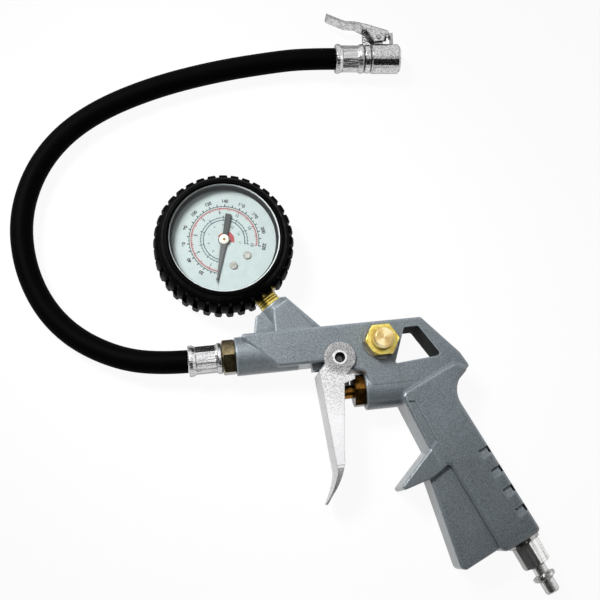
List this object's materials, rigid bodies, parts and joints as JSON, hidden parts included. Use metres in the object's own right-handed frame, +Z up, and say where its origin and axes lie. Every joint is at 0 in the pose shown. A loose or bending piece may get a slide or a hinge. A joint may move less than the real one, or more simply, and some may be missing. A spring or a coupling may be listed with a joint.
{
  "type": "tire inflator gun",
  "caption": "Air-line tire inflator gun with a dial pressure gauge, hose and clip-on chuck.",
  "frame": {"origin": "on the gauge's axis at the back face of its rubber boot, with the gun lying on its side", "axes": "+X along the barrel away from the hose, +Y across the barrel towards the gauge, +Z up from the surface, out of the gauge's dial"},
  "size_m": [0.28, 0.3476, 0.0369],
  "materials": {
    "grey_paint": "satin grey enamel on a die casting",
    "black_rubber": "matte black",
    "hose_rubber": "matte black, fine longitudinal grain",
    "seal_rubber": "smooth black",
    "bright_plate": "bright nickel plate",
    "polished_lever": "bright plate with soft waves",
    "brass": "turned, lightly tarnished",
    "movement_brass": "rolled and blanked",
    "steel": "turned steel, nickel flash",
    "spring_steel": "drawn wire",
    "case_black": "black lacquer",
    "dial_white": "white printed aluminium",
    "needle_black": "satin black",
    "clear_lens": "clear",
    "white_plastic": "natural nylon"
  },
  "bodies": {
    "gun": {"gun_casting": "grey_paint", "trigger_pin": "bright_plate", "valve_gland_nut": "brass", "valve_gland_seal": "seal_rubber", "valve_seat": "white_plastic", "valve_spring": "spring_steel", "bleed_washer": "brass", "bleed_valve_body": "brass", "bleed_spring": "spring_steel", "gauge_boot": "black_rubber", "gauge_case": "case_black", "gauge_lens": "clear_lens", "gauge_bezel": "case_black", "dial_plate": "dial_white", "dial_screws": "steel", "gauge_socket": "brass", "bourdon_tube": "movement_brass", "movement_frame": "movement_brass", "hairspring": "spring_steel", "hose_fitting_gun": "brass", "ferrule_gun": "bright_plate", "hose": "hose_rubber", "ferrule_chuck": "bright_plate", "hose_fitting_chuck": "bright_plate", "chuck_body": "bright_plate", "chuck_seal": "seal_rubber", "chuck_depressor": "brass", "clip_pin": "steel", "clip_spring": "spring_steel", "inlet_washer": "steel", "inlet_plug": "steel", "inlet_strainer": "white_plastic"},
    "trigger_lever": {"trigger": "polished_lever"},
    "valve_moving": {"valve_stem": "brass", "valve_poppet": "seal_rubber"},
    "bleed_moving": {"bleed_button": "brass", "bleed_seal": "seal_rubber"},
    "needle_group": {"needle": "needle_black", "needle_hub": "needle_black", "pinion": "movement_brass"},
    "sector_group": {"sector_gear": "movement_brass"},
    "tube_end": {"tube_tip": "movement_brass", "link": "movement_brass"},
    "clip": {"clip_lever": "bright_plate"}
  },
  "joints": [
    {"name": "trigger_pull", "type": "hinge", "parent": "gun", "child": "trigger_lever", "pos_m": [0.0561, -0.072, 0.0132], "axis": [0, 0, 1], "range_deg": [0, 12], "stiffness_Nm_per_rad": 1.5, "springref_deg": -11.46},
    {"name": "valve_slide", "type": "slide", "parent": "gun", "child": "valve_moving", "axis": [1, 0, 0], "range_m": [0, 0.00375], "deforming": ["valve_spring"]},
    {"name": "bleed_press", "type": "slide", "parent": "gun", "child": "bleed_moving", "axis": [0, 0, -1], "range_m": [0, 0.003], "stiffness_N_per_m": 1500, "springref_m": -0.002, "deforming": ["bleed_spring"]},
    {"name": "sector_swing", "type": "hinge", "parent": "gun", "child": "sector_group", "pos_m": [-0.01364, 0.00788, 0.0132], "axis": [0, 0, 1], "range_deg": [0, 33.75], "stiffness_Nm_per_rad": 0.02, "springref_deg": -2.86},
    {"name": "needle_sweep", "type": "hinge", "parent": "gun", "child": "needle_group", "pos_m": [0, 0, 0.0132], "axis": [0, 0, -1], "range_deg": [0, 270]},
    {"name": "tube_flex", "type": "slide", "parent": "gun", "child": "tube_end", "axis": [-0.1167, -0.9932, 0], "range_m": [0, 0.00302]},
    {"name": "clip_lever_press", "type": "hinge", "parent": "gun", "child": "clip", "pos_m": [0.10484, 0.11955, 0.009], "axis": [0, 0, 1], "range_deg": [0, 20], "stiffness_Nm_per_rad": 0.5, "springref_deg": -11.46, "deforming": ["clip_spring"]}
  ],
  "couplings": [
    {"joint": "valve_slide", "follows": "trigger_pull", "m_per_rad": 0.017905},
    {"joint": "needle_sweep", "follows": "sector_swing", "ratio": 8},
    {"joint": "tube_flex", "follows": "sector_swing", "m_per_rad": 0.00512}
  ]
}
